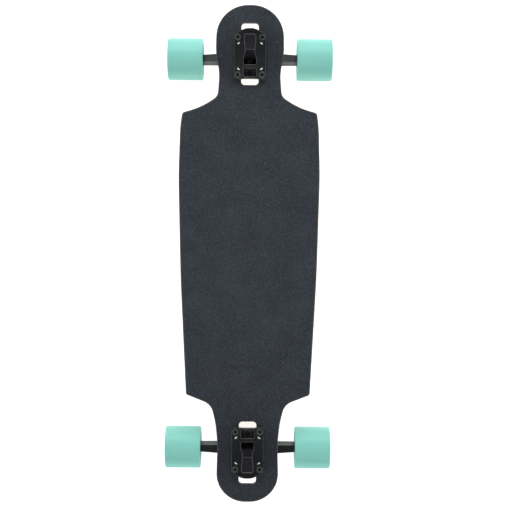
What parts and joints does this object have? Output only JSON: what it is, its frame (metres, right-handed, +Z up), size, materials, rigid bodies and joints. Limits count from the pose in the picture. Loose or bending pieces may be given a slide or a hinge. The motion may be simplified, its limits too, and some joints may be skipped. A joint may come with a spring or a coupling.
{
  "type": "longboard skateboard",
  "caption": "Drop-through longboard with a gripped, cut-away wooden deck, spring-centred reverse-kingpin trucks and free-rolling cast wheels on ball bearings.",
  "frame": {"origin": "middle of the footprint on the floor under the wheels", "axes": "+X across the board, +Y along it towards the wider nose, +Z up"},
  "size_m": [0.284, 0.8402, 0.1],
  "materials": {
    "deck_wood": "satin",
    "grip": "gritty matte",
    "truck_paint": "satin",
    "pivot_plastic": "satin",
    "steel": "satin",
    "black_steel": "satin",
    "bushing": "satin",
    "bearing_steel": "polished",
    "spacer": "turned",
    "urethane": "satin",
    "core_plastic": "matte",
    "shield": "satin",
    "cage": "matte"
  },
  "bodies": {
    "board": {"deck": "deck_wood", "grip_tape": "grip", "front_baseplate": "truck_paint", "front_pivot_cup": "pivot_plastic", "front_kingpin": "black_steel", "front_kingpin_nut": "steel", "front_boardside_bushing": "bushing", "front_roadside_bushing": "bushing", "front_boardside_washer": "steel", "front_roadside_washer": "steel", "front_mounting_bolts": "black_steel", "front_mounting_nuts": "steel", "rear_baseplate": "truck_paint", "rear_pivot_cup": "pivot_plastic", "rear_kingpin": "black_steel", "rear_kingpin_nut": "steel", "rear_boardside_bushing": "bushing", "rear_roadside_bushing": "bushing", "rear_boardside_washer": "steel", "rear_roadside_washer": "steel", "rear_mounting_bolts": "black_steel", "rear_mounting_nuts": "steel"},
    "front_hanger_body": {"front_hanger": "truck_paint", "front_axle": "steel", "front_bearing_inner_races": "bearing_steel", "front_bearing_spacers": "spacer", "front_axle_washers": "steel", "front_axle_nuts": "steel"},
    "front_left_wheel": {"front_left_tyre": "urethane", "front_left_core": "core_plastic", "front_left_bearing_outer_races": "bearing_steel", "front_left_bearing_shields": "shield"},
    "front_left_ball_set": {"front_left_bearing_balls": "bearing_steel", "front_left_bearing_cages": "cage"},
    "front_right_wheel": {"front_right_tyre": "urethane", "front_right_core": "core_plastic", "front_right_bearing_outer_races": "bearing_steel", "front_right_bearing_shields": "shield"},
    "front_right_ball_set": {"front_right_bearing_balls": "bearing_steel", "front_right_bearing_cages": "cage"},
    "rear_hanger_body": {"rear_hanger": "truck_paint", "rear_axle": "steel", "rear_bearing_inner_races": "bearing_steel", "rear_bearing_spacers": "spacer", "rear_axle_washers": "steel", "rear_axle_nuts": "steel"},
    "rear_left_wheel": {"rear_left_tyre": "urethane", "rear_left_core": "core_plastic", "rear_left_bearing_outer_races": "bearing_steel", "rear_left_bearing_shields": "shield"},
    "rear_left_ball_set": {"rear_left_bearing_balls": "bearing_steel", "rear_left_bearing_cages": "cage"},
    "rear_right_wheel": {"rear_right_tyre": "urethane", "rear_right_core": "core_plastic", "rear_right_bearing_outer_races": "bearing_steel", "rear_right_bearing_shields": "shield"},
    "rear_right_ball_set": {"rear_right_bearing_balls": "bearing_steel", "rear_right_bearing_cages": "cage"}
  },
  "joints": [
    {"name": "front_steer", "type": "hinge", "parent": "board", "child": "front_hanger_body", "pos_m": [0, 0.34433, 0.06606], "axis": [0, 0.6428, 0.766], "range_deg": [-20, 20], "stiffness_Nm_per_rad": 40, "deforming": ["front_boardside_bushing", "front_roadside_bushing"]},
    {"name": "front_left_spin", "type": "hinge", "parent": "front_hanger_body", "child": "front_left_wheel", "pos_m": [0, 0.3366, 0.036], "axis": [1, 0, 0], "continuous": true},
    {"name": "front_left_balls_spin", "type": "hinge", "parent": "front_hanger_body", "child": "front_left_ball_set", "pos_m": [0, 0.3366, 0.036], "axis": [1, 0, 0], "continuous": true},
    {"name": "front_right_spin", "type": "hinge", "parent": "front_hanger_body", "child": "front_right_wheel", "pos_m": [0, 0.3366, 0.036], "axis": [1, 0, 0], "continuous": true},
    {"name": "front_right_balls_spin", "type": "hinge", "parent": "front_hanger_body", "child": "front_right_ball_set", "pos_m": [0, 0.3366, 0.036], "axis": [1, 0, 0], "continuous": true},
    {"name": "rear_steer", "type": "hinge", "parent": "board", "child": "rear_hanger_body", "pos_m": [0, -0.34433, 0.06606], "axis": [0, -0.6428, 0.766], "range_deg": [-20, 20], "stiffness_Nm_per_rad": 40, "deforming": ["rear_boardside_bushing", "rear_roadside_bushing"]},
    {"name": "rear_left_spin", "type": "hinge", "parent": "rear_hanger_body", "child": "rear_left_wheel", "pos_m": [0, -0.3366, 0.036], "axis": [1, 0, 0], "continuous": true},
    {"name": "rear_left_balls_spin", "type": "hinge", "parent": "rear_hanger_body", "child": "rear_left_ball_set", "pos_m": [0, -0.3366, 0.036], "axis": [1, 0, 0], "continuous": true},
    {"name": "rear_right_spin", "type": "hinge", "parent": "rear_hanger_body", "child": "rear_right_wheel", "pos_m": [0, -0.3366, 0.036], "axis": [1, 0, 0], "continuous": true},
    {"name": "rear_right_balls_spin", "type": "hinge", "parent": "rear_hanger_body", "child": "rear_right_ball_set", "pos_m": [0, -0.3366, 0.036], "axis": [1, 0, 0], "continuous": true}
  ],
  "couplings": [
    {"joint": "front_left_balls_spin", "follows": "front_left_spin", "ratio": 0.6323},
    {"joint": "front_right_balls_spin", "follows": "front_right_spin", "ratio": 0.6323},
    {"joint": "rear_left_balls_spin", "follows": "rear_left_spin", "ratio": 0.6323},
    {"joint": "rear_right_balls_spin", "follows": "rear_right_spin", "ratio": 0.6323}
  ]
}
